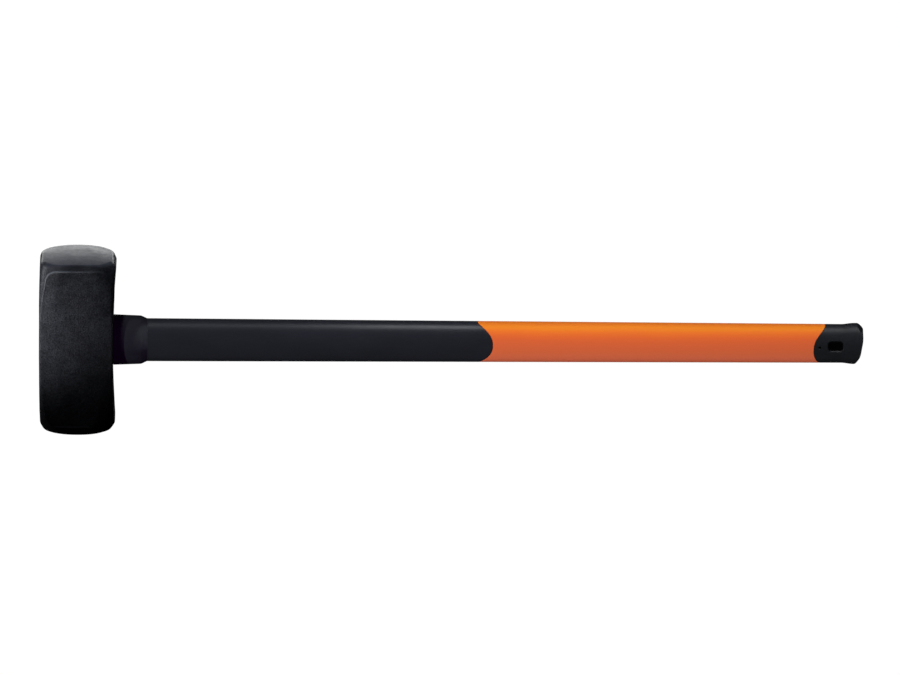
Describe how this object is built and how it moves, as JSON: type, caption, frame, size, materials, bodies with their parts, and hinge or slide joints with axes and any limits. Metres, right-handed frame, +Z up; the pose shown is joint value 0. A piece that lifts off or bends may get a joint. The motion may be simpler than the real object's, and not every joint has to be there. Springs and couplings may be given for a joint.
{
  "type": "sledgehammer",
  "caption": "Double-faced long-handled sledgehammer: forged square head with crowned faces on an oval composite handle with collar, grip sleeve and slotted butt cap.",
  "frame": {"origin": "centre of the lower striking face, on its flat land", "axes": "+Z up the striking axis to the upper face; +X along the handle from the head to the butt; Y across the cheeks, square to the swing plane; handle axis at z = 87.75 mm"},
  "size_m": [0.8, 0.0734, 0.1755],
  "materials": {
    "head_enamel": "semi-gloss black enamel over a forged surface, fine orange-peel texture",
    "bond_resin": "cast amber resin, smooth meniscus",
    "seal_rubber": "matt black",
    "core_glass_fibre": "pultruded glass fibre, sawn end",
    "jacket_orange": "satin orange moulding",
    "sleeve_rubber": "smooth satin black overmould",
    "collar_rubber": "smooth satin black moulding",
    "cap_black": "satin black moulding",
    "pin_steel": "dull steel end, set just below the cap's surface"
  },
  "bodies": {
    "root": {"hammer_head": "head_enamel", "eye_bond": "bond_resin", "eye_seal": "seal_rubber", "handle_core": "core_glass_fibre", "handle_jacket": "jacket_orange", "grip_sleeve": "sleeve_rubber", "overstrike_collar": "collar_rubber", "butt_cap": "cap_black", "cap_pin": "pin_steel"}
  },
  "joints": []
}
